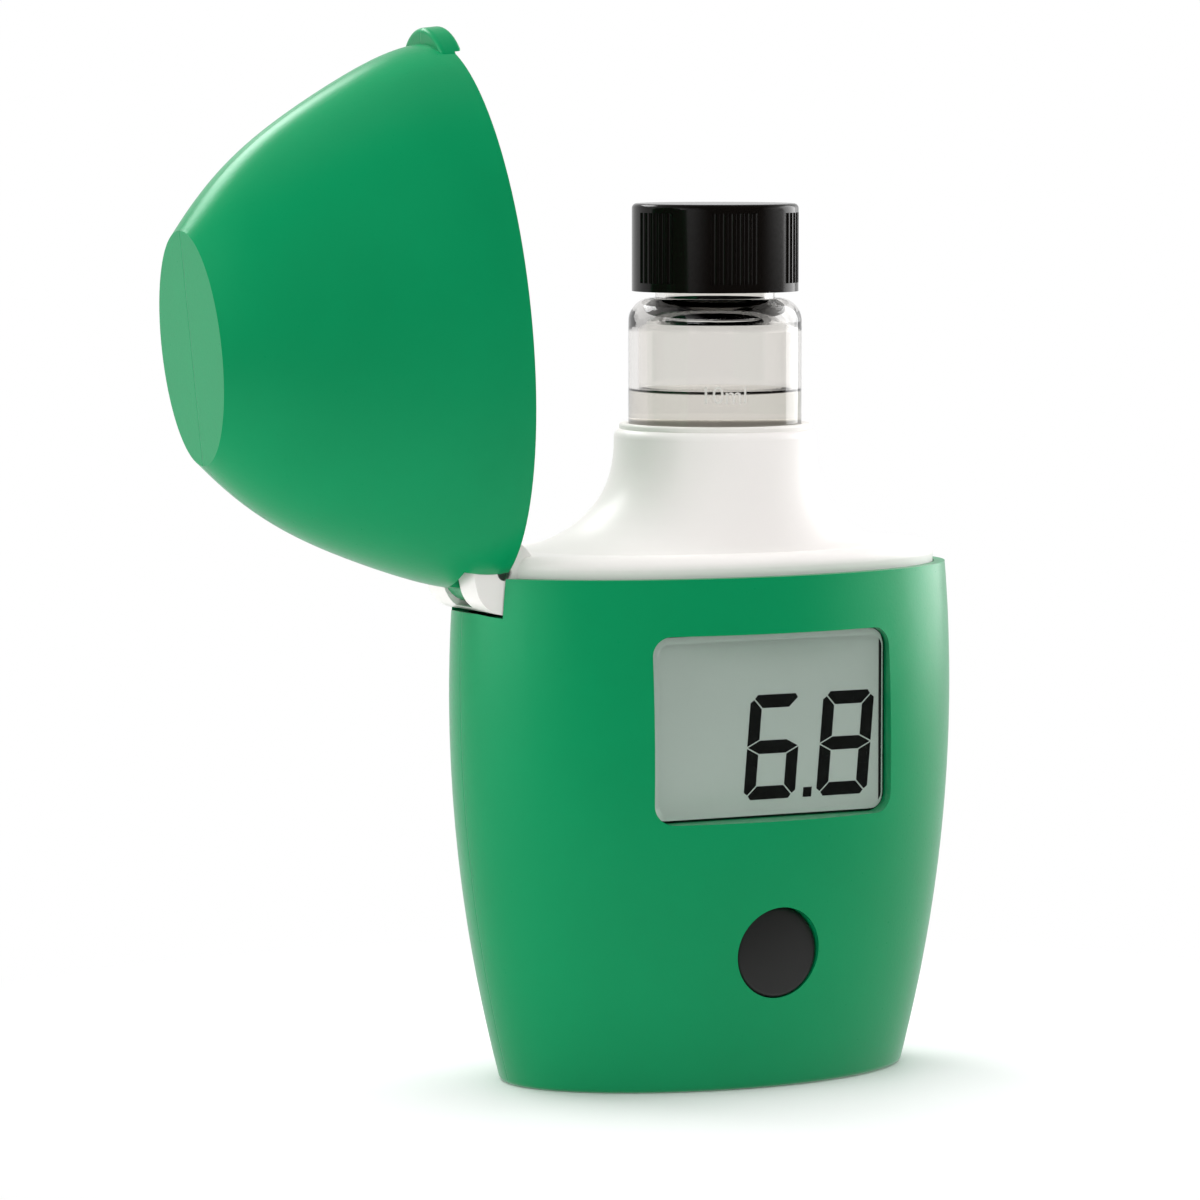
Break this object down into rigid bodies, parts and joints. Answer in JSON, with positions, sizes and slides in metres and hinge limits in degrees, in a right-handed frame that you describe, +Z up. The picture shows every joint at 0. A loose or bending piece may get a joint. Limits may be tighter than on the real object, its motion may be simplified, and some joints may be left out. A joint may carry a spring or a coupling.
{
  "type": "portable colorimeter",
  "caption": "Pocket colorimeter with a barrel casing, hinged domed lid, display window, round button and a capped glass cuvette raised from its well.",
  "frame": {"origin": "centre of the flat base the instrument stands on", "axes": "+Z up, -Y the side with the display, +X to the right as the user sees it; the lid is hinged at -X"},
  "size_m": [0.0868, 0.0349, 0.1079],
  "materials": {
    "green_plastic": "satin moulded ABS with a very fine texture",
    "white_plastic": "smooth white moulding",
    "white_rubber": "soft silicone",
    "steel": "ground pin",
    "clear_window": "clear polished",
    "black_foam": "thin foam",
    "display_glass": "reflective liquid crystal panel",
    "board": "glass epoxy with green resist",
    "black_plastic": "moulded package",
    "ceramic": "ceramic body",
    "black_rubber": "matte rubber",
    "filter_glass": "coloured glass",
    "clear_resin": "clear epoxy",
    "cell_sleeve": "steel can in a plain sleeve",
    "nickel": "nickel-plated spring strip",
    "cuvette_glass": "clear borosilicate",
    "sample": "clear water-like sample",
    "cap_plastic": "glossy black moulding"
  },
  "bodies": {
    "body": {"casing": "green_plastic", "battery_cover": "green_plastic", "cuvette_holder": "white_plastic", "light_seal_ring": "white_rubber", "hinge_pin": "steel", "display_window": "clear_window", "window_gasket": "black_foam", "lcd_panel": "display_glass", "lcd_contact_strips": "black_foam", "circuit_board": "board", "board_screws": "steel", "microcontroller": "black_plastic", "clock_crystal": "steel", "capacitors": "ceramic", "tactile_switch": "black_plastic", "light_detector": "black_plastic", "optical_filter": "filter_glass", "led_lamp": "clear_resin", "lamp_board": "board", "battery_cell": "cell_sleeve", "upper_contact": "nickel", "lower_contact": "nickel", "battery_spring": "nickel", "cover_screw": "steel"},
    "lid": {"lid": "green_plastic"},
    "vial": {"cuvette": "cuvette_glass", "sample_liquid": "sample"},
    "cap_carrier": {"cap_liner": "white_rubber"},
    "cap": {"cuvette_cap": "cap_plastic"},
    "button": {"power_button": "black_rubber", "switch_plunger": "black_plastic"}
  },
  "joints": [
    {"name": "lid_hinge", "type": "hinge", "parent": "body", "child": "lid", "pos_m": [-0.0258, 0, 0.0531], "axis": [0, 1, 0], "range_deg": [0, 95.8]},
    {"name": "vial_slide", "type": "slide", "parent": "body", "child": "vial", "axis": [0, 0, 1], "range_m": [-0.0158, 0]},
    {"name": "cap_rise", "type": "slide", "parent": "vial", "child": "cap_carrier", "axis": [0, 0, 1], "range_m": [0, 0.00212]},
    {"name": "cap_turn", "type": "hinge", "parent": "cap_carrier", "child": "cap", "pos_m": [0.00145, 0, 0.0859], "axis": [0, 0, 1], "range_deg": [0, 360]},
    {"name": "button_press", "type": "slide", "parent": "body", "child": "button", "axis": [0, 1, 0], "range_m": [0, 0.0005], "stiffness_N_per_m": 400}
  ],
  "couplings": [
    {"joint": "vial_slide", "follows": "lid_hinge", "m_per_rad": -0.0094496},
    {"joint": "cap_turn", "follows": "cap_rise", "rad_per_m": 2963.7}
  ]
}
